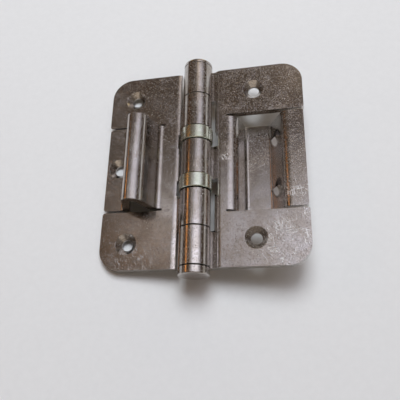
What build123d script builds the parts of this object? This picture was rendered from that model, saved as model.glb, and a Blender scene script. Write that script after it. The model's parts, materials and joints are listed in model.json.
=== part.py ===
from build123d import *

import os
from math import atan2, cos, floor, pi, radians, sin, tan

# Security butt hinge, lying open flat with its barrel up. Two folded steel leaves turn on one pin.
# The door leaf has a pressed rib that locks into the frame leaf's pressed channel when the hinge
# is shut. Two ball bearings carry the door leaf. Sizes are in millimetres.
# Each leaf is drawn on its own side of the pin: u runs from the pin to the leaf's outer edge,
# Y runs along the pin and Z stands up from the leaf, with zero on the pin's centre line.

# Leaves
leaf_height = 89.0          # along the pin
frame_leaf_reach = 44.5     # pin centre to outer edge
door_leaf_reach = 40.0
sheet = 3.0                 # thickness of the folded steel
closed_gap = 4.0            # between the two leaves' faces when shut
corner_radius = 9.0         # outer corners
frame_corner_relief = 1.0   # small round where a slit meets the outer edge
slit_width = 0.9
tongue_inset = 0.3          # the sheared tongue ends a little inside the outer edge

# Barrel
pin_diameter = 6.2
pin_clearance = 0.05        # radial running fit in the rolled knuckles
knuckle_gap = 0.5           # between neighbouring knuckles, and moving faces at the bearings
roll_end_angle = 26.0       # the roll stops this far below level, just short of the leaf
crank_foot = 6.4            # where the strap starts to step up to the leaf
crank_run = 3.6
frame_notch_clearance = 1.1     # leaf edge to the other leaf's knuckle
door_notch_clearance = 1.7
bearing_notch_clearance = 1.9   # leaf edge to a bearing cup

# Bearings
bearing_height = 6.7
bearing_diameter = 13.4
cup_wall = 0.55
cup_floor = 0.75
cup_foot_height = 0.35      # narrow foot that leaves a dark line under each cup
cup_foot_radius = 5.2
cup_floor_hole_radius = 4.5
cup_rim_chamfer = 0.25
race_clearance = 0.02       # fixed race in its cup
moving_clearance = 1.05     # moving race inside the cup
race_bore_clearance = 0.1   # races round the pin
ball_diameter = 2.8
ball_clearance = 0.02       # between a ball and each race
ball_spacing = 0.15         # least gap between neighbouring balls
ball_bands = 6              # the balls are out of sight, so each is a many-sided solid
ball_sides = 8

# End caps
top_cap_height = 1.8
bottom_cap_height = 3.1
top_cap_neck = 0.3          # height of the narrow neck that leaves a dark line under each cap
bottom_cap_neck = 0.5
cap_neck_inset = 1.0
cap_spigot_length = 4.0
top_cap_edge = 0.9          # rounding of the rim, turned as narrow flats
bottom_cap_edge = 0.45
cap_edge_bands = 3
pin_chamfer = 0.4

# Screw holes
screw_hole_diameter = 4.6
countersink_diameter = 9.0
countersink_angle = 90.0
frame_screw_u = 23.7
frame_screw_y = 33.2
door_screw_u = 28.9
door_screw_y = 33.7
door_middle_screw_inset = 5.5   # from the outer edge

# Channel pressed down in the frame leaf, from corner to corner of the sheet's middle line
frame_slit_y = 21.65
frame_slit_end = 12.4
channel_depth = 11.5
channel_lip_u = 14.9
channel_floor_inner_u = 17.8
channel_floor_outer_u = 30.4
channel_edge_u = 36.6
channel_lip_bend = 3.1
channel_floor_inner_bend = 3.0
channel_floor_outer_bend = 2.7
channel_edge_bend = 2.5

# Rib pressed up in the door leaf
door_slit_y = 19.6
door_slit_end = 14.9
rib_height = 13.0
rib_foot_u = 17.9
rib_crest_inner_u = 22.0
rib_crest_outer_u = 26.1
rib_heel_u = 30.1
rib_foot_bend = 4.0
rib_crest_inner_bend = 3.9
rib_crest_outer_bend = 1.6
rib_heel_bend = 2.8

# Lanced nibs on the channel's outer wall
nib_rise = 1.7              # of the flap, into the channel
nib_hollow = 1.1            # of the wall beside it, out of the channel
nib_width = 7.0
nib_tip_width = 2.5
nib_run = 4.0
nib_wall_depth = 6.0        # down the wall from the leaf's face
nib_y = (11.1, -11.3)       # each nib's sheared lip

# Sizes that follow
knuckle_length = (leaf_height - 2 * bearing_height - 2 * knuckle_gap) / 5
pin_radius = pin_diameter / 2
knuckle_bore_radius = pin_radius + pin_clearance
knuckle_radius = knuckle_bore_radius + sheet
roll_radius = knuckle_bore_radius + sheet / 2
face_z = -closed_gap / 2
middle_z = face_z - sheet / 2
back_z = face_z - sheet
leaf_top = leaf_height / 2
crank_top = crank_foot + crank_run
frame_notch = knuckle_radius + frame_notch_clearance
door_notch = knuckle_radius + door_notch_clearance
bearing_radius = bearing_diameter / 2
bearing_notch = bearing_radius + bearing_notch_clearance
screw_hole_radius = screw_hole_diameter / 2
overrun = 1.0               # how far a cutting solid passes what it cuts

# Places of the joints along the pin, upper half; the lower half mirrors them
centre_knuckle_top = knuckle_length / 2
bearing_top = centre_knuckle_top + bearing_height
inner_knuckle_top = bearing_top + knuckle_length
end_knuckle_bottom = inner_knuckle_top + knuckle_gap

FRAME_KNUCKLES = (
    (end_knuckle_bottom, leaf_top),
    (-centre_knuckle_top, centre_knuckle_top),
    (-leaf_top, -end_knuckle_bottom),
)
DOOR_KNUCKLES = ((bearing_top, inner_knuckle_top), (-inner_knuckle_top, -bearing_top))


def along(y_low, y_high, section):
    """A section drawn across the pin, carried along it from y_low to y_high."""
    return Pos(0, y_high, 0) * extrude(section, amount=y_high - y_low)


def block(u_low, u_high, y_low, y_high, z_low=-30.0, z_high=30.0):
    """A plain block between two corners, for cutting."""
    size = (u_high - u_low, y_high - y_low, z_high - z_low)
    middle = ((u_low + u_high) / 2, (y_low + y_high) / 2, (z_low + z_high) / 2)
    return Pos(*middle) * Box(*size)


def folded(path):
    """The folded sheet's section: its thickness laid equally on both sides of a line."""
    return Plane.XZ * trace(path, line_width=sheet)


def strap_section(reach):
    """Flat leaf, a small step down, and the roll that makes a knuckle."""
    half_step = ((crank_foot + crank_top) / 2, (middle_z - roll_radius) / 2)
    flat = Line((reach, middle_z), (crank_top, middle_z))
    upper_bend = TangentArc((crank_top, middle_z), half_step, tangent=(-1, 0))
    lower_bend = TangentArc((crank_foot, -roll_radius), half_step, tangent=(1, 0))
    strap = Line((crank_foot, -roll_radius), (0, -roll_radius))
    roll = CenterArc((0, 0), roll_radius, -90, -270 - roll_end_angle)
    return folded([flat, upper_bend, lower_bend, strap, roll])


def tongue_section(slit_end, reach, corners, bends):
    """The pressed strip between two slits, from the uncut leaf to the outer edge."""
    start = (slit_end - overrun, middle_z)
    end = (reach - tongue_inset, middle_z)
    bent = [(u, middle_z + rise) for u, rise in corners]
    return folded(FilletPolyline(start, *bent, end, radius=bends))


def countersunk_hole(u, y):
    """A screw hole with its cone opening at the leaf's face."""
    cone_depth = (countersink_diameter - screw_hole_diameter) / 2 / tan(radians(countersink_angle / 2))
    cone = Cone(screw_hole_radius, countersink_diameter / 2, cone_depth)
    shank = Cylinder(screw_hole_radius, sheet + 2 * overrun)
    mouth = Cylinder(countersink_diameter / 2, overrun)
    return (
        Pos(u, y, face_z - cone_depth / 2) * cone
        + Pos(u, y, middle_z) * shank
        + Pos(u, y, face_z + overrun / 2) * mouth
    )


def leaf(reach, knuckles, notch, slit_y, slit_end, corners, bends, screws):
    """One folded leaf with its knuckles, slits, pressed tongue and screw holes."""
    body = along(-leaf_top, leaf_top, strap_section(reach))

    # Rounded outer corners
    outer_corners = body.edges().filter_by(Axis.Z).group_by(Axis.X)[-1]
    body = fillet(outer_corners, corner_radius)

    # Room for the other leaf's knuckles, deeper beside the bearings
    for y_low, y_high in gaps_between(knuckles):
        body -= block(-knuckle_radius - overrun, notch, y_low, y_high)
    for side in (1, -1):
        y_low, y_high = sorted((side * centre_knuckle_top, side * bearing_top))
        body -= block(-knuckle_radius - overrun, bearing_notch, y_low, y_high)

    # The strip between the slits is cut out, and the pressed tongue takes its place
    slit_outside = slit_y + slit_width / 2
    body -= block(slit_end, reach + overrun, -slit_outside, slit_outside)
    for side in (1, -1):
        body -= Pos(slit_end, side * slit_y, middle_z) * Cylinder(slit_width / 2, sheet + overrun)
    mouths = [
        edge
        for edge in body.edges().filter_by(Axis.Z).group_by(Axis.X)[-1]
        if abs(abs(edge.center().Y) - slit_outside) < slit_width
    ]
    body = fillet(mouths, frame_corner_relief)
    tongue_half = slit_y - slit_width / 2
    tongue = along(-tongue_half, tongue_half, tongue_section(slit_end, reach, corners, bends))
    tongue_ends = tongue.edges().filter_by(Axis.Z).group_by(Axis.X)[-1]
    body += fillet(tongue_ends, frame_corner_relief)

    for u, y in screws:
        body -= countersunk_hole(u, y)
    return body


def gaps_between(knuckles):
    """The stretches of a leaf's height that hold none of its own knuckles."""
    ends = sorted(knuckles)
    stretches = []
    y_low = -leaf_top - overrun
    for start, stop in ends:
        if start - y_low > overrun:
            stretches.append((y_low, start))
        y_low = stop
    if leaf_top + overrun - y_low > overrun:
        stretches.append((y_low, leaf_top + overrun))
    return stretches


def wall_wedge(y_lip, y_point, rise, origin_u, origin_z, slope):
    """A wedge on the channel's outer wall: full at its lip, nothing at its point."""
    wall = Plane(
        origin=(origin_u, 0, origin_z),
        x_dir=(cos(slope), 0, sin(slope)),
        z_dir=(-sin(slope), 0, cos(slope)),
    )
    # wall's own Y runs along the pin
    plan = Polygon(
        (-nib_width / 2, y_lip),
        (nib_width / 2, y_lip),
        (nib_tip_width / 2, y_point),
        (-nib_tip_width / 2, y_point),
        align=None,
    )
    profile = Polygon((y_lip, 0), (y_point, 0), (y_lip, rise), align=None)
    across = Plane(origin=(0, 0, 0), x_dir=(0, 1, 0), z_dir=(1, 0, 0))
    column = extrude(plan, amount=2 * abs(rise), both=True)
    ramp = extrude(across * profile, amount=nib_width, both=True)
    return wall * (column & ramp)


def lanced_nib(body, y_lip):
    """The wall sheared at a lip, pressed in on one side of it and out on the other."""
    run = channel_edge_u - channel_floor_outer_u
    slope = atan2(channel_depth, run)
    shift = sheet / 2 * tan(slope / 2)
    down = nib_wall_depth / sin(slope)
    origin_u = channel_edge_u - shift - down * cos(slope)
    origin_z = face_z - down * sin(slope)
    behind = Pos(sheet * sin(slope), 0, -sheet * cos(slope))
    nib = wall_wedge(y_lip, y_lip - nib_run, nib_rise, origin_u, origin_z, slope)
    hollow = wall_wedge(y_lip, y_lip + nib_run, -nib_hollow, origin_u, origin_z, slope)
    return body + nib - behind * nib - hollow + behind * hollow


def frame_leaf():
    """The leaf with three knuckles and the channel."""
    body = leaf(
        frame_leaf_reach,
        FRAME_KNUCKLES,
        frame_notch,
        frame_slit_y,
        frame_slit_end,
        (
            (channel_lip_u, 0),
            (channel_floor_inner_u, -channel_depth),
            (channel_floor_outer_u, -channel_depth),
            (channel_edge_u, 0),
        ),
        (
            channel_lip_bend,
            channel_floor_inner_bend,
            channel_floor_outer_bend,
            channel_edge_bend,
        ),
        ((frame_screw_u, frame_screw_y), (frame_screw_u, -frame_screw_y)),
    )
    for y_lip in nib_y:
        body = lanced_nib(body, y_lip)
    return body


def door_leaf():
    """The leaf with two knuckles and the rib, on the other side of the pin."""
    body = leaf(
        door_leaf_reach,
        DOOR_KNUCKLES,
        door_notch,
        door_slit_y,
        door_slit_end,
        (
            (rib_foot_u, 0),
            (rib_crest_inner_u, rib_height),
            (rib_crest_outer_u, rib_height),
            (rib_heel_u, 0),
        ),
        (rib_foot_bend, rib_crest_inner_bend, rib_crest_outer_bend, rib_heel_bend),
        (
            (door_screw_u, door_screw_y),
            (door_leaf_reach - door_middle_screw_inset, 0),
            (door_screw_u, -door_screw_y),
        ),
    )
    return mirror(body, about=Plane.YZ)


def turned(*points):
    """A solid turned about the pin's axis from its half section, given as radius and Y."""
    return revolve(Polygon(*points, align=None), axis=Axis.Y)


def pin():
    """The plain pin between the two end caps' spigots."""
    length = leaf_height - 2 * cap_spigot_length
    shaft = Rot(X=90) * Cylinder(pin_radius, length)
    ends = shaft.edges().filter_by(GeomType.CIRCLE)
    return chamfer(ends, pin_chamfer)


def end_cap(neck, height, edge_radius):
    """A cap with a spigot in the knuckle's bore, drawn at the top end."""
    neck_radius = knuckle_radius - cap_neck_inset
    flange_bottom = leaf_top + neck
    flange_top = flange_bottom + height
    rim = []
    for band in range(cap_edge_bands + 1):
        turn = pi / 2 * band / cap_edge_bands
        rim.append(
            (
                knuckle_radius - edge_radius * (1 - cos(turn)),
                flange_top - edge_radius * (1 - sin(turn)),
            )
        )
    return turned(
        (0, leaf_top - cap_spigot_length),
        (pin_radius, leaf_top - cap_spigot_length),
        (pin_radius, leaf_top),
        (neck_radius, leaf_top),
        (neck_radius, flange_bottom),
        (knuckle_radius, flange_bottom),
        *rim,
        (0, flange_top),
    )


# Bearing between the centre knuckle and the knuckle above it; all of it turns about the pin
cup_bore_radius = bearing_radius - cup_wall
cup_bottom = centre_knuckle_top
fixed_race_bottom = cup_bottom + cup_floor
race_gap = ball_diameter + 2 * ball_clearance
race_thickness = (bearing_top - fixed_race_bottom - race_gap) / 2
ball_y = fixed_race_bottom + race_thickness + race_gap / 2
race_bore_radius = pin_radius + race_bore_clearance
moving_race_radius = cup_bore_radius - moving_clearance
track_radius = (pin_radius + cup_bore_radius) / 2
ball_count = floor(2 * pi * track_radius / (ball_diameter + ball_spacing))


def bearing_cup():
    """The plated cup that shows as a ring; it sits on the centre knuckle."""
    cup_top = bearing_top - knuckle_gap
    rim_radius = bearing_radius - cup_rim_chamfer
    foot_top = cup_bottom + cup_foot_height
    return turned(
        (cup_floor_hole_radius, cup_bottom),
        (cup_foot_radius, cup_bottom),
        (cup_foot_radius, foot_top),
        (rim_radius, foot_top),
        (bearing_radius, foot_top + cup_rim_chamfer),
        (bearing_radius, cup_top - cup_rim_chamfer),
        (rim_radius, cup_top),
        (cup_bore_radius, cup_top),
        (cup_bore_radius, fixed_race_bottom),
        (cup_floor_hole_radius, fixed_race_bottom),
    )


def race(outer_radius, y_low):
    """A hardened flat washer that the balls roll on."""
    return turned(
        (race_bore_radius, y_low),
        (outer_radius, y_low),
        (outer_radius, y_low + race_thickness),
        (race_bore_radius, y_low + race_thickness),
    )


def ball_point(band, side):
    """A corner of the ball's facets: band counts from pole to pole, side goes round."""
    climb = pi * (band / ball_bands - 1 / 2)
    turn = 2 * pi * (side % ball_sides) / ball_sides
    radius = ball_diameter / 2
    if band in (0, ball_bands):
        return (0, radius * sin(climb), 0)
    return (radius * cos(climb) * cos(turn), radius * sin(climb), radius * cos(climb) * sin(turn))


def ball():
    """One ball, with flat facets from pole to pole."""
    facets = []
    for band in range(ball_bands):
        for side in range(ball_sides):
            corners = [ball_point(band, side)]
            if band > 0:
                corners.append(ball_point(band, side + 1))
            corners.append(ball_point(band + 1, side + 1))
            if band + 1 < ball_bands:
                corners.append(ball_point(band + 1, side))
            facets.append(Face(Wire.make_polygon(corners, close=True)))
    return Solid(Shell(facets))


def balls():
    """A full ring of balls, kept on its track by the pin and the cup's wall."""
    one = Pos(track_radius, ball_y, 0) * ball()
    return Compound(children=[Rot(Y=index * 360 / ball_count) * one for index in range(ball_count)])


def bearing():
    """The upper bearing's pieces, by name."""
    return {
        "bearing_cup": bearing_cup(),
        "bearing_fixed_race": race(cup_bore_radius - race_clearance, fixed_race_bottom),
        "bearing_moving_race": race(moving_race_radius, bearing_top - race_thickness),
        "bearing_balls": balls(),
    }


def hinge():
    """Every piece of the hinge, by node name, about the pin's axis."""
    pieces = {
        "frame_leaf": frame_leaf(),
        "door_leaf": door_leaf(),
        "pin": pin(),
        "top_cap": end_cap(top_cap_neck, top_cap_height, top_cap_edge),
        "bottom_cap": mirror(
            end_cap(bottom_cap_neck, bottom_cap_height, bottom_cap_edge), about=Plane.XZ
        ),
    }
    for name, piece in bearing().items():
        pieces["upper_" + name] = piece
        pieces["lower_" + name] = mirror(piece, about=Plane.XZ)
    return pieces


# The frame leaf's screws hold the hinge, so the origin is midway between them on its back face
to_screws = Pos(-frame_screw_u, 0, -back_z)

os.makedirs("parts", exist_ok=True)
for node, piece in hinge().items():
    export_step(to_screws * piece, f"parts/{node}.step")
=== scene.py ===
"""Security butt hinge in nickel-plated steel, open flat on a pale table.

The leaves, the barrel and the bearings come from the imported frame. This file gives them their
finishes and the small round on their edges, and sets the table, the lamp, the room and the
camera around them.
"""

import json
import math

import bpy
from bpy.props import FloatProperty, FloatVectorProperty, PointerProperty, StringProperty
from bpy.types import Operator, Panel, PropertyGroup
from mathutils import Matrix, Vector


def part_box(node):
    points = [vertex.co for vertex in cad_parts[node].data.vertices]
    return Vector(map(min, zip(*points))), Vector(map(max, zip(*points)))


bl_info = {
    "name": "Security Butt Hinge",
    "version": (1, 0, 0),
    "blender": (4, 5, 0),
    "location": "View3D > Sidebar > Hinge",
    "description": "Finishes a folded steel hinge with a ball-bearing barrel and sets its stage",
    "category": "Object",
}

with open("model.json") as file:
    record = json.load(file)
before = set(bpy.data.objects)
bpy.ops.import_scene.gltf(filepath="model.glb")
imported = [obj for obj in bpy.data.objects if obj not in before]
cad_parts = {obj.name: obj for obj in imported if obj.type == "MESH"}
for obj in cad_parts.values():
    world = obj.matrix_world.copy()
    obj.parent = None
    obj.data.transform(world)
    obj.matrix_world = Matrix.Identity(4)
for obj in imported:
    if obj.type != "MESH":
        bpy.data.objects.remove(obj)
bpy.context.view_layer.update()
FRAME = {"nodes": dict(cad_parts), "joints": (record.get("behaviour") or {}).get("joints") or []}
NODES = FRAME["nodes"]
MM = 0.001

# Places and sizes on the hinge, in millimetres. The backs of both leaves lie in the plane z = 0
FRAME_LEAF_LOW, FRAME_LEAF_HIGH = (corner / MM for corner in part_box("frame_leaf"))
DOOR_LEAF_LOW, DOOR_LEAF_HIGH = (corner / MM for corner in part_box("door_leaf"))
CAP_LOW, CAP_HIGH = (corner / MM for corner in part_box("top_cap"))
SWING = next(joint for joint in FRAME["joints"] if joint["name"] == "leaf_swing")
PIN_CENTRE = Vector(SWING["pos_m"]) / MM
LEAF_FACE = 3.0
NIB_LIPS = (11.1, -11.3)  # along the pin
BORDER = 0.05  # half the width of a sharp border between two finishes

# Grease and painted shade in the joints: its radius, where it is full and where there is none, and how far
# from the middle it reaches along the pin, on the caps' necks and past both ends of the barrel
KNUCKLE_RADIUS = (CAP_HIGH.x - CAP_LOW.x) / 2
JOINT_RADIUS = (KNUCKLE_RADIUS - 0.12, KNUCKLE_RADIUS - 0.04)
CAP_JOINT = FRAME_LEAF_HIGH.y + 0.55
PAST_ENDS = FRAME_LEAF_HIGH.y + 5.5

# What the open hinge lies on
DOOR_LEAF_EDGE = Vector((DOOR_LEAF_LOW.x, 0.0, 0.0))
CHANNEL_FLOOR = Vector((-4.2, 0.0, FRAME_LEAF_LOW.z))

# Where each leaf is rubbed: a centre, how far the rub is full, and how far it reaches
FRAME_LEAF_RUBS = (
    ((12.0, -36.0, LEAF_FACE), 3.0, 17.0),
    ((19.0, -20.0, LEAF_FACE), 1.0, 18.0),
    ((-12.0, 2.0, LEAF_FACE), 0.4, 3.6),
)
DOOR_LEAF_RUBS = (
    ((-50.0, -42.0, LEAF_FACE), 2.0, 14.0),
    ((-47.0, 0.0, DOOR_LEAF_HIGH.z - 1.0), 1.0, 6.0),
)
DOOR_LEAF_WEAR = 0.5  # the door leaf's scuffs against the frame leaf's

# Dark brown of old grease, also painted as shade in the barrel's joints and in the nibs' hollows
GREASE_AND_SHADE = "#15110e"
TABLE_MOTTLE = "#dfdfdf"

# The stage, in metres
TABLE_HALF = 3.0
TABLE_BELOW = 0.02 * MM  # a hair below the hinge, so that no two faces share a plane
KEY_DISTANCE = 0.9
KEY_TARGET = Vector((-22.0, 0.0, 0.0)) * MM

CAPS = ("top_cap", "bottom_cap")
CUPS = ("upper_bearing_cup", "lower_bearing_cup")
BEARING_STEEL = (
    "upper_bearing_fixed_race",
    "upper_bearing_moving_race",
    "upper_bearing_balls",
    "lower_bearing_fixed_race",
    "lower_bearing_moving_race",
    "lower_bearing_balls",
)


def linear(colour):
    """An sRGB hex string as the linear colour that a shader takes."""
    parts = []
    for place in (1, 3, 5):
        value = int(colour[place : place + 2], 16) / 255
        parts.append(value / 12.92 if value <= 0.04045 else ((value + 0.055) / 1.055) ** 2.4)
    return (*parts, 1.0)


def add(tree, kind, settings=None, links=None):
    """Adds a node with its settings. links gives each input a value, or the socket it hangs on."""
    node = tree.nodes.new(kind)
    for name, value in (settings or {}).items():
        setattr(node, name, value)
    for name, value in (links or {}).items():
        if isinstance(value, bpy.types.NodeSocket):
            tree.links.new(value, node.inputs[name])
        else:
            node.inputs[name].default_value = value
    return node


def new_material(name):
    """An empty material with its shader and output in place."""
    material = bpy.data.materials.new(name)
    material.use_nodes = True
    tree = material.node_tree
    tree.nodes.clear()
    shader = add(tree, "ShaderNodeBsdfPrincipled")
    add(tree, "ShaderNodeOutputMaterial", None, {"Surface": shader.outputs["BSDF"]})
    return material, tree, shader


def millimetres(tree):
    """The surface point in millimetres, so every pattern's scale is one over its real size."""
    place = add(tree, "ShaderNodeTexCoord")
    scaled = add(
        tree,
        "ShaderNodeVectorMath",
        {"operation": "SCALE"},
        {"Vector": place.outputs["Object"], "Scale": 1 / MM},
    )
    return scaled.outputs["Vector"]


def spread(tree, value, low, high, to_low, to_high, smooth=True):
    """Carries a value from one range to another and holds it there."""
    node = add(
        tree,
        "ShaderNodeMapRange",
        {"interpolation_type": "SMOOTHSTEP" if smooth else "LINEAR", "clamp": True},
        {"Value": value, "From Min": low, "From Max": high, "To Min": to_low, "To Max": to_high},
    )
    return node.outputs["Result"]


def combine(tree, operation, first, second, clamp=True):
    """One sum, product or comparison of two values, held between 0 and 1 unless clamp is off."""
    node = add(tree, "ShaderNodeMath", {"operation": operation, "use_clamp": clamp})
    for socket, value in zip(node.inputs, (first, second)):
        if isinstance(value, bpy.types.NodeSocket):
            tree.links.new(value, socket)
        else:
            socket.default_value = value
    return node.outputs["Value"]


def multiply_add(tree, value, times, ground):
    """A value times a number, added to another value."""
    node = add(tree, "ShaderNodeMath", {"operation": "MULTIPLY_ADD"})
    tree.links.new(value, node.inputs[0])
    node.inputs[1].default_value = times
    tree.links.new(ground, node.inputs[2])
    return node.outputs["Value"]


def product(tree, *values):
    """Several values multiplied, which also keeps only what lies in all of several places."""
    total = values[0]
    for value in values[1:]:
        total = combine(tree, "MULTIPLY", total, value, clamp=False)
    return total


def strongest(tree, *values):
    """The largest of several values."""
    total = values[0]
    for value in values[1:]:
        total = combine(tree, "MAXIMUM", total, value)
    return total


def vector_maths(tree, operation, vector, fixed):
    """A vector moved or scaled by a fixed one."""
    node = add(tree, "ShaderNodeVectorMath", {"operation": operation}, {"Vector": vector})
    node.inputs[1].default_value = fixed
    return node.outputs["Vector"]


def blend_colour(tree, amount, first, second):
    """A colour between two others."""
    node = add(tree, "ShaderNodeMix", {"data_type": "RGBA"})
    for socket, value in zip((node.inputs[0], node.inputs[6], node.inputs[7]), (amount, first, second)):
        if isinstance(value, bpy.types.NodeSocket):
            tree.links.new(value, socket)
        else:
            socket.default_value = value
    return node.outputs[2]


def add_light(tree, ground, amount, colour):
    """A glow with some more of a colour added to it."""
    node = add(tree, "ShaderNodeVectorMath", {"operation": "MULTIPLY_ADD"})
    node.inputs[0].default_value = linear(colour)[:3]
    tree.links.new(amount, node.inputs[1])
    tree.links.new(ground, node.inputs[2])
    return node.outputs["Vector"]


def fade(tree, value, none_at, full_at):
    """Rises softly from 0 at one value to 1 at another, which may be the lower of the two."""
    if none_at < full_at:
        return spread(tree, value, none_at, full_at, 0.0, 1.0)
    return spread(tree, value, full_at, none_at, 1.0, 0.0)


def bell(tree, value, centre, half_width):
    """1 at a value, falling softly to 0 on both sides, with a fifth of the width flat."""
    flat_part = 0.2
    offset = combine(tree, "SUBTRACT", value, centre, clamp=False)
    apart = combine(tree, "ABSOLUTE", offset, 0.0, clamp=False)
    return fade(tree, apart, none_at=half_width, full_at=flat_part * half_width)


def noise(tree, point, size, detail=2.0, roughness=0.5, distortion=0.0):
    """Soft random patches about size millimetres across."""
    node = add(
        tree,
        "ShaderNodeTexNoise",
        None,
        {
            "Vector": point,
            "Scale": 1 / size,
            "Detail": detail,
            "Roughness": roughness,
            "Distortion": distortion,
        },
    )
    return node.outputs["Fac"]


def stretched(tree, point, degrees_round, length, width):
    """The point turned in the leaf's plane, then squeezed so that a unit is length by width."""
    turned = add(
        tree,
        "ShaderNodeVectorRotate",
        {"rotation_type": "Z_AXIS"},
        {"Vector": point, "Angle": math.radians(degrees_round)},
    )
    return vector_maths(tree, "MULTIPLY", turned.outputs["Vector"], (1 / length, 1 / width, 1 / width))


def near(tree, point, centre, inner, outer):
    """1 at a place on the object, falling to 0 between two distances in millimetres."""
    apart = add(tree, "ShaderNodeVectorMath", {"operation": "DISTANCE"}, {"Vector": point})
    apart.inputs[1].default_value = centre
    return fade(tree, apart.outputs["Value"], none_at=outer, full_at=inner)


def hairlines(tree, point, turns, length, width, share):
    """Fine straight scratches: thin crests of a long, narrow noise, in a few directions."""
    softness, apart = 0.06, Vector((17.3, 41.7, 5.1))
    lines = []
    for index, turn in enumerate(turns):
        along = stretched(tree, point, turn, length, width)
        crest = noise(tree, vector_maths(tree, "ADD", along, apart * index), size=1.0, detail=1.0)
        lines.append(fade(tree, crest, none_at=1 - share - softness, full_at=1 - share))
    return strongest(tree, *lines)


def broken_edge(tree, radius):
    """The normal of edges that are broken by a small round, so that they catch the light."""
    return add(tree, "ShaderNodeBevel", {"samples": 6}, {"Radius": radius}).outputs["Normal"]


def relief(tree, shader, height, strength, depth, normal=None):
    """Gives a shader its fine relief, over its edges' normal where it has one."""
    settings = {"Strength": strength, "Distance": depth, "Height": height}
    if normal is not None:
        settings["Normal"] = normal
    bump = add(tree, "ShaderNodeBump", None, settings)
    tree.links.new(bump.outputs["Normal"], shader.inputs["Normal"])


def inside_barrel(tree, point, far_end):
    """1 on what lies inside the barrel's outline, up to far_end millimetres along the pin, where grease
    colour paints shade into the joints.
    """
    offset = vector_maths(tree, "SUBTRACT", point, PIN_CENTRE)
    across = vector_maths(tree, "MULTIPLY", offset, (1, 0, 1))
    radius = add(tree, "ShaderNodeVectorMath", {"operation": "LENGTH"}, {"Vector": across})
    inside = fade(tree, radius.outputs["Value"], none_at=JOINT_RADIUS[1], full_at=JOINT_RADIUS[0])
    split = add(tree, "ShaderNodeSeparateXYZ", None, {"Vector": point})
    distance = combine(tree, "ABSOLUTE", split.outputs["Y"], 0.0, clamp=False)
    return product(tree, inside, fade(tree, distance, none_at=far_end + BORDER, full_at=far_end))


def torn_places(tree, point):
    """The two nibs: painted shade where the wall is pressed back beside each, and a painted highlight on
    each one's sheared flap.
    """
    split = add(tree, "ShaderNodeSeparateXYZ", None, {"Vector": point})
    shaded_hollows, lit_flaps = [], []
    for lip in NIB_LIPS:
        past_lip = fade(tree, split.outputs["Y"], none_at=lip - BORDER, full_at=lip + BORDER)
        # The hollow beside each lip is painted shade, and the flap before it a painted highlight
        hollow = near(tree, point, (9.0, lip + 1.4, -3.2), inner=2.9, outer=3.6)
        flap = near(tree, point, (8.0, lip - 1.2, -2.4), inner=1.6, outer=2.8)
        shaded_hollows.append(product(tree, hollow, past_lip))
        lit_flaps.append(product(tree, flap, combine(tree, "SUBTRACT", 1.0, past_lip)))
    return strongest(tree, *shaded_hollows), strongest(tree, *lit_flaps)


def worn_marks(tree, point, rubs, wear):
    """Hairlines and specks all over, and smears, flecks and strokes where the plate was rubbed."""
    hairs = hairlines(tree, point, turns=(28.0, 71.0, -38.0, 8.0), length=5.0, width=0.20, share=0.29)
    patches = fade(tree, noise(tree, point, size=7.0), none_at=0.42, full_at=0.60)
    specks = fade(tree, noise(tree, point, size=0.38, detail=1.0), none_at=0.68, full_at=0.73)
    marks = [product(tree, hairs, patches, 0.20), product(tree, specks, 0.40)]
    if rubs:
        smears = stretched(tree, point, degrees_round=62.0, length=1.9, width=0.62)
        smears = noise(tree, smears, size=1.0, detail=3.0, roughness=0.6, distortion=0.8)
        smears = fade(tree, smears, none_at=0.57, full_at=0.67)
        flecks = fade(tree, noise(tree, point, size=0.42, roughness=0.6), none_at=0.60, full_at=0.72)
        strokes = hairlines(tree, point, turns=(52.0, -12.0, 84.0), length=4.2, width=0.32, share=0.345)
        clusters = fade(tree, noise(tree, point, size=5.0), none_at=0.46, full_at=0.60)
        rubbed = strongest(
            tree, smears, product(tree, strokes, clusters), product(tree, flecks, 0.55)
        )
        worn = strongest(tree, *(near(tree, point, *rub) for rub in rubs))
        marks.append(product(tree, rubbed, worn, wear))
    return strongest(tree, *marks)


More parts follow.
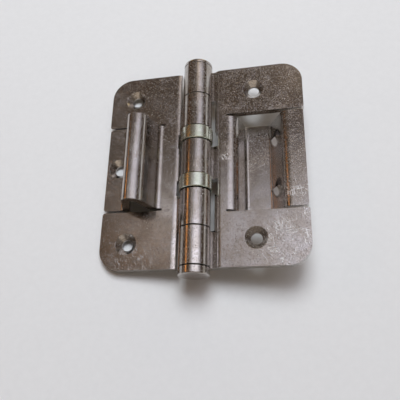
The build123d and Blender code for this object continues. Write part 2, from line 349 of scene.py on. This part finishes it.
def nickel_plate(
    name, finish, edge, roughness, dimples, rubs=(), wear=0.0, grease_and_shade_to=PAST_ENDS, torn=False
):
    """Bright nickel plated on rolled steel strip.

    Rolled strip under nickel is a blurred mirror: it shows the room, with a fine grain of pits,
    faint clouding where it was handled, hairline scratches, and pale scuffs where leaves rubbed.
    Old grease and painted shade darken the joints inside the barrel, so they read as black lines.
    """
    material, tree, shader = new_material(name)
    point = millimetres(tree)
    clouds = noise(tree, point, size=11.0, detail=3.0, roughness=0.55, distortion=0.4)
    clouded = fade(tree, clouds, none_at=0.35, full_at=0.65)
    marks = worn_marks(tree, point, rubs, wear)
    # Grease colour darkens the joints inside the barrel, partly as painted shade in the gaps
    greased_and_shaded = inside_barrel(tree, point, grease_and_shade_to)
    if torn:
        # The nibs' hollows get painted shade in grease colour, and their flaps a painted highlight in the
        # scuffs' colour
        shaded_hollows, lit_flaps = torn_places(tree, point)
        marks = strongest(tree, marks, product(tree, lit_flaps, 0.8))
        greased_and_shaded = strongest(tree, greased_and_shaded, product(tree, shaded_hollows, 0.8))

    plate = blend_colour(tree, clouded, linear(finish.nickel), linear(finish.nickel_warm))
    plate = blend_colour(tree, marks, plate, linear(finish.scuff))
    plate = blend_colour(tree, greased_and_shaded, plate, linear(GREASE_AND_SHADE))
    tree.links.new(plate, shader.inputs["Base Color"])
    # A rubbed mark is torn and oxidised nickel, so it turns matt and pale; on the nibs' flaps this matt
    # pale colour is a painted highlight
    metal = spread(tree, marks, 0.0, 0.9, 1.0, 0.05, smooth=False)
    tree.links.new(metal, shader.inputs["Metallic"])
    sheen = spread(tree, clouds, 0.3, 0.7, roughness - 0.035, roughness + 0.045)
    sheen = multiply_add(tree, marks, times=0.28, ground=sheen)
    tree.links.new(sheen, shader.inputs["Roughness"])

    grain = product(tree, noise(tree, point, size=0.5, roughness=0.55), 0.4)
    pits = fade(tree, noise(tree, point, size=0.40, detail=1.0), none_at=0.60, full_at=0.74)
    height = multiply_add(tree, strongest(tree, pits, marks), times=-1.0, ground=grain)
    relief(tree, shader, height, strength=1.0, depth=dimples, normal=broken_edge(tree, edge))
    return material


def zinc_plate(name, finish):
    """Electroplated zinc with a pale yellow-green passivate.

    A soft bright metal with a faint rainbow cast, so the colour drifts in patches and round the
    ring. The cup was drawn and turned, so the finest lines run round it.
    """
    material, tree, shader = new_material(name)
    point = millimetres(tree)
    patches = noise(tree, point, size=3.2, detail=3.0, roughness=0.6, distortion=0.5)
    tinged = fade(tree, patches, none_at=0.38, full_at=0.62)
    colour = blend_colour(tree, tinged, linear(finish.zinc), linear(finish.zinc_tinge))
    # Grease colour darkens the cup inside the barrel's outline, partly as painted shade in the joint
    colour = blend_colour(tree, inside_barrel(tree, point, PAST_ENDS), colour, linear(GREASE_AND_SHADE))
    tree.links.new(colour, shader.inputs["Base Color"])
    shader.inputs["Metallic"].default_value = 1.0
    tree.links.new(spread(tree, patches, 0.3, 0.7, 0.22, 0.32), shader.inputs["Roughness"])
    turned = noise(tree, vector_maths(tree, "MULTIPLY", point, (0.12, 5.0, 0.12)), size=1.0)
    rounded = broken_edge(tree, finish.cup_edge)
    relief(tree, shader, turned, strength=0.3, depth=0.01 * MM, normal=rounded)
    return material


def greased_steel(name, base, dark, roughness, line_width):
    """Ground or lapped steel under old grease: dark, with fine grinding lines round the piece."""
    material, tree, shader = new_material(name)
    point = millimetres(tree)
    grease = fade(tree, noise(tree, point, size=2.4), none_at=0.4, full_at=0.6)
    tree.links.new(blend_colour(tree, grease, linear(base), linear(dark)), shader.inputs["Base Color"])
    shader.inputs["Metallic"].default_value = 1.0
    lines = vector_maths(tree, "MULTIPLY", point, (0.1, 1 / line_width, 0.1))
    ground = noise(tree, lines, size=1.0, detail=3.0, roughness=0.6)
    sheen = spread(tree, ground, 0.3, 0.7, roughness - 0.04, roughness + 0.05)
    tree.links.new(sheen, shader.inputs["Roughness"])
    relief(tree, shader, ground, strength=0.25, depth=0.008 * MM)
    return material


def dress(name, material):
    """Gives a carried-over piece its finish. Its own normals keep the rolled forms round."""
    slots = NODES[name].data.materials
    slots.clear()
    slots.append(material)


class HingeFinish(PropertyGroup):
    """Colours, edges and wear of the hinge."""

    nickel: StringProperty(name="Nickel", description="Nickel plate, sRGB hex", default="#bbb6b2")
    nickel_warm: StringProperty(
        name="Warm nickel", description="Nickel plate where it is clouded, sRGB hex", default="#aea69d"
    )
    scuff: StringProperty(name="Scuffs", description="Rubbed nickel, sRGB hex", default="#f6f6f8")
    zinc: StringProperty(name="Zinc", description="Passivated zinc, sRGB hex", default="#dfe2d6")
    zinc_tinge: StringProperty(
        name="Zinc tinge", description="Greener patches of the zinc, sRGB hex", default="#cdd4c2"
    )
    steel: StringProperty(name="Steel", description="Ground steel, sRGB hex", default="#8f8b85")
    greased: StringProperty(
        name="Greased steel", description="Steel under old grease, sRGB hex", default="#4a423b"
    )
    leaf_edge: FloatProperty(
        name="Leaf edge", description="Round on the leaves' cut edges", default=0.20 * MM, unit="LENGTH"
    )
    cap_edge: FloatProperty(
        name="Cap edge", description="Round on the caps' edges", default=0.15 * MM, unit="LENGTH"
    )
    cup_edge: FloatProperty(
        name="Cup edge", description="Round on the cups' edges", default=0.08 * MM, unit="LENGTH"
    )
    wear: FloatProperty(
        name="Wear", description="Strength of the scuffs", default=0.8, min=0.0, max=1.0, subtype="FACTOR"
    )


class HingeStage(PropertyGroup):
    """The table, the lamp and the room."""

    table: StringProperty(name="Table", description="Table top, sRGB hex", default="#e6e6e6")
    backdrop: StringProperty(
        name="Backdrop", description="Backdrop round the table, sRGB hex", default="#e4e4e4"
    )
    walls: StringProperty(name="Walls", description="Walls of the room, sRGB hex", default="#4c3d31")
    front_wall: StringProperty(
        name="Front wall", description="Pale wall behind the viewer, sRGB hex", default="#776e66"
    )
    ceiling: StringProperty(name="Ceiling", description="Ceiling of the room, sRGB hex", default="#6a615a")
    window: FloatProperty(name="Window", description="Brightness of the cool window", default=2.1, min=0.0)
    amber: FloatProperty(
        name="Amber strip", description="Brightness of the amber strip", default=2.0, min=0.0
    )
    key_power: FloatProperty(
        name="Key lamp", description="Power of the main lamp", default=5.9, unit="POWER"
    )
    key_colour: StringProperty(
        name="Key colour", description="Colour of the main lamp, sRGB hex", default="#f2f9ff"
    )
    key_direction: FloatVectorProperty(
        name="Key direction", description="From the hinge to the main lamp", default=(0.15, 0.38, 0.90)
    )
    key_size: FloatProperty(
        name="Key size", description="Side of the main lamp", default=0.42, unit="LENGTH"
    )
    world: FloatProperty(name="Room", description="Strength of the room's light", default=1.0, min=0.0)


class HINGE_OT_leaves(Operator):
    """Finishes both folded leaves in nickel plate, with the scuffs of use"""

    bl_idname = "hinge.leaves"
    bl_label = "Leaves"

    def execute(self, context):
        finish = context.scene.hinge_finish
        frame_side = nickel_plate(
            "nickel_plated_strip_frame_leaf",
            finish,
            edge=finish.leaf_edge,
            roughness=0.13,
            dimples=0.045 * MM,
            rubs=FRAME_LEAF_RUBS,
            wear=finish.wear,
            torn=True,
        )
        door_side = nickel_plate(
            "nickel_plated_strip_door_leaf",
            finish,
            edge=finish.leaf_edge,
            roughness=0.135,
            dimples=0.036 * MM,
            rubs=DOOR_LEAF_RUBS,
            wear=finish.wear * DOOR_LEAF_WEAR,
        )
        dress("frame_leaf", frame_side)
        dress("door_leaf", door_side)
        return {"FINISHED"}


class HINGE_OT_barrel(Operator):
    """Finishes the end caps in nickel plate and the pin in greased steel"""

    bl_idname = "hinge.barrel"
    bl_label = "Caps and pin"

    def execute(self, context):
        finish = context.scene.hinge_finish
        # The caps' necks in the joint take the grease colour, partly as painted shade
        capped = nickel_plate(
            "nickel_plated_turned_cap",
            finish,
            edge=finish.cap_edge,
            roughness=0.14,
            dimples=0.030 * MM,
            grease_and_shade_to=CAP_JOINT,
        )
        for name in CAPS:
            dress(name, capped)
        pin_steel = greased_steel(
            "greased_steel_pin", finish.greased, GREASE_AND_SHADE, roughness=0.28, line_width=0.15
        )
        dress("pin", pin_steel)
        return {"FINISHED"}


class HINGE_OT_bearings(Operator):
    """Finishes the bearing cups in passivated zinc and the races and balls in greased steel"""

    bl_idname = "hinge.bearings"
    bl_label = "Bearings"

    def execute(self, context):
        finish = context.scene.hinge_finish
        cup = zinc_plate("passivated_zinc_plate", finish)
        for name in CUPS:
            dress(name, cup)
        lapped = greased_steel(
            "greased_bearing_steel", finish.steel, finish.greased, roughness=0.18, line_width=0.08
        )
        for name in BEARING_STEEL:
            dress(name, lapped)
        return {"FINISHED"}


def area_lamp(name, place, target, side, power, colour):
    """A square lamp at a place, shining at a target."""
    light = bpy.data.lights.new(name, "AREA")
    light.shape = "SQUARE"
    light.size = side
    light.energy = power
    light.color = linear(colour)[:3]
    lamp = bpy.data.objects.new(name, light)
    turn = (place - target).normalized().to_track_quat("Z", "Y")
    lamp.matrix_world = Matrix.Translation(place) @ turn.to_matrix().to_4x4()
    bpy.context.scene.collection.objects.link(lamp)
    return lamp


class HINGE_OT_stage(Operator):
    """Builds the table that the open hinge leans on, the room, the lamp and the camera"""

    bl_idname = "hinge.stage"
    bl_label = "Stage"

    def execute(self, context):
        stage = context.scene.hinge_stage
        self.table(stage)
        self.room(stage)
        self.lamp(stage)
        self.camera()
        return {"FINISHED"}

    def table(self, stage):
        """The table touches the door leaf's outer edge and the channel's floor, so it slopes."""
        touch_left, touch_right = DOOR_LEAF_EDGE * MM, CHANNEL_FLOOR * MM
        across = (touch_right - touch_left).normalized()
        away = Vector((0, 1, 0))
        middle = (touch_left + touch_right) / 2 - across.cross(away) * TABLE_BELOW
        corners = [
            tuple(middle + across * TABLE_HALF * side + away * TABLE_HALF * end)
            for end in (-1, 1)
            for side in (-1, 1)
        ]
        mesh = bpy.data.meshes.new("table_top")
        mesh.from_pydata(corners, [], [(0, 1, 3, 2)])
        mesh.materials.append(self.laminate(stage))
        top = bpy.data.objects.new("table_top", mesh)
        bpy.context.scene.collection.objects.link(top)

    def laminate(self, stage):
        """Matt laminate: pale and faintly mottled, with no mirror image of the hinge in it."""
        material, tree, shader = new_material("matt_laminate_table")
        mottle = noise(tree, millimetres(tree), size=2.5, detail=3.0, roughness=0.6)
        colour = blend_colour(tree, mottle, linear(stage.table), linear(TABLE_MOTTLE))
        tree.links.new(colour, shader.inputs["Base Color"])
        shader.inputs["Roughness"].default_value = 0.6
        shader.inputs["Specular IOR Level"].default_value = 0.2
        return material

    def room(self, stage):
        """A dim warm room with a broad cool window overhead and smaller lights round it.

        Each light's place is a turn about the pin in degrees, nothing at the zenith and growing
        towards +X, and how far its direction goes along the pin and up, each from -1 to 1. The
        window's near edge slants, so it fades from the flat leaves before the barrel.
        """
        world = bpy.data.worlds.new("plain_room")
        bpy.context.scene.world = world
        world.use_nodes = True
        tree = world.node_tree
        tree.nodes.clear()
        place = add(tree, "ShaderNodeTexCoord")
        split = add(tree, "ShaderNodeSeparateXYZ", None, {"Vector": place.outputs["Generated"]})
        along, up = split.outputs["Y"], split.outputs["Z"]
        turn = combine(tree, "ARCTAN2", split.outputs["X"], up, clamp=False)
        turn = product(tree, turn, math.degrees(1))

        front = fade(tree, along, none_at=0.15, full_at=-0.05)
        sides = blend_colour(tree, front, linear(stage.walls), linear(stage.front_wall))
        overhead = fade(tree, up, none_at=0.45, full_at=0.92)
        glow = blend_colour(tree, overhead, sides, linear(stage.ceiling))
        dark_end = product(
            tree, bell(tree, along, 0.515, 0.07), fade(tree, turn, none_at=-10.0, full_at=0.0), 0.8
        )
        glow = blend_colour(tree, dark_end, glow, linear(stage.walls))

        near_edge = spread(tree, along, 0.38, 0.52, -21.0, 2.0, smooth=False)
        full_from = combine(tree, "ADD", near_edge, 36.0, clamp=False)
        # The window is dimmer in its far part
        brightness = spread(tree, along, 0.29, 0.36, stage.window, stage.window * 0.45)
        window = product(
            tree,
            spread(tree, turn, near_edge, full_from, 0.0, 1.0),
            fade(tree, turn, none_at=68.0, full_at=32.0),
            fade(tree, along, none_at=0.88, full_at=0.60),
            fade(tree, along, none_at=0.0, full_at=0.20),
            brightness,
        )
        glow = add_light(tree, glow, window, "#eef0ff")

        # Someone stands before the window's near side
        figure = product(
            tree, fade(tree, along, none_at=0.34, full_at=0.25), bell(tree, turn, -27.0, 14.0), 0.85
        )
        glow = blend_colour(tree, figure, glow, linear(stage.walls))

        far_window = product(
            tree,
            bell(tree, turn, 15.0, 22.0),
            fade(tree, along, none_at=0.54, full_at=0.62),
            fade(tree, along, none_at=0.86, full_at=0.70),
        )
        sunlit_wall = product(
            tree,
            fade(tree, along, none_at=0.66, full_at=0.86),
            fade(tree, up, none_at=0.36, full_at=0.16),
            1.5,
        )
        doorway = product(
            tree, fade(tree, along, none_at=-0.52, full_at=-0.74), bell(tree, up, 0.53, 0.17), 0.75
        )
        amber_strip = product(
            tree,
            bell(tree, turn, -46.0, 6.0),
            fade(tree, along, none_at=0.47, full_at=0.39),
            fade(tree, along, none_at=0.0, full_at=0.15),
            stage.amber,
        )
        pale_lamp = product(tree, bell(tree, turn, -15.0, 9.0), bell(tree, along, 0.345, 0.060), 0.65)
        warm_lamp = product(tree, bell(tree, turn, -18.0, 9.0), bell(tree, along, 0.270, 0.070), 0.3)
        for amount, colour in (
            (far_window, "#fbe9d6"),
            (sunlit_wall, "#eddaab"),
            (doorway, "#f6ebdd"),
            (amber_strip, "#f0a050"),
            (pale_lamp, "#f4f2f6"),
            (warm_lamp, "#f2cfae"),
        ):
            glow = add_light(tree, glow, amount, colour)

        # A pale backdrop stands all round, low enough that the plate shows it only at its edges
        ray = add(tree, "ShaderNodeLightPath")
        seen = combine(tree, "ADD", ray.outputs["Is Glossy Ray"], ray.outputs["Is Transmission Ray"])
        low = product(tree, seen, fade(tree, up, none_at=0.12, full_at=0.03))
        backdrop = strongest(tree, ray.outputs["Is Camera Ray"], low)
        glow = blend_colour(tree, backdrop, glow, linear(stage.backdrop))

        light = add(tree, "ShaderNodeBackground", None, {"Color": glow, "Strength": stage.world})
        add(tree, "ShaderNodeOutputWorld", None, {"Surface": light.outputs["Background"]})

    def lamp(self, stage):
        """One lamp lights the table from the top right; the plate mirrors the room, not the lamp."""
        place = KEY_TARGET + Vector(stage.key_direction).normalized() * KEY_DISTANCE
        key = area_lamp("key", place, KEY_TARGET, stage.key_size, stage.key_power, stage.key_colour)
        key.visible_glossy = False

    def camera(self):
        """The photograph's view, found from the hinge's own edges and holes."""
        eye = Vector((19.33, -89.42, 184.87)) * MM
        forward = Vector((-0.20767, 0.36372, -0.90807)).normalized()
        upright = Vector((0.06129, 0.93132, 0.35902))
        right = forward.cross(upright).normalized()
        upright = right.cross(forward)
        turn = Matrix((right, upright, -forward)).transposed().to_4x4()
        data = bpy.data.cameras.new("photo_view")
        data.sensor_width = 36.0
        focal_pixels, frame_pixels = 498.06, 400
        data.lens = data.sensor_width * focal_pixels / frame_pixels
        data.clip_start = 5 * MM
        data.clip_end = 50.0
        camera = bpy.data.objects.new("photo_view", data)
        camera.matrix_world = Matrix.Translation(eye) @ turn
        bpy.context.scene.collection.objects.link(camera)
        bpy.context.scene.camera = camera
        bpy.context.scene.view_settings.view_transform = "Standard"


class HINGE_PT_panel(Panel):
    """Lists the hinge's pieces and its stage"""

    bl_idname = "HINGE_PT_panel"
    bl_label = "Security Butt Hinge"
    bl_space_type = "VIEW_3D"
    bl_region_type = "UI"
    bl_category = "Hinge"

    def draw(self, context):
        layout = self.layout
        for group in (context.scene.hinge_finish, context.scene.hinge_stage):
            box = layout.box()
            for name in group.bl_rna.properties.keys():
                if name not in ("rna_type", "name"):
                    box.prop(group, name)
        for operator in OPERATORS:
            layout.operator(operator.bl_idname)


OPERATORS = (HINGE_OT_leaves, HINGE_OT_barrel, HINGE_OT_bearings, HINGE_OT_stage)
CLASSES = (HingeFinish, HingeStage, *OPERATORS, HINGE_PT_panel)


def register():
    for item in CLASSES:
        bpy.utils.register_class(item)
    bpy.types.Scene.hinge_finish = PointerProperty(type=HingeFinish)
    bpy.types.Scene.hinge_stage = PointerProperty(type=HingeStage)


def unregister():
    del bpy.types.Scene.hinge_stage
    del bpy.types.Scene.hinge_finish
    for item in reversed(CLASSES):
        bpy.utils.unregister_class(item)


def main():
    register()
    bpy.ops.hinge.leaves()
    bpy.ops.hinge.barrel()
    bpy.ops.hinge.bearings()
    bpy.ops.hinge.stage()


if __name__ == "__main__":
    main()
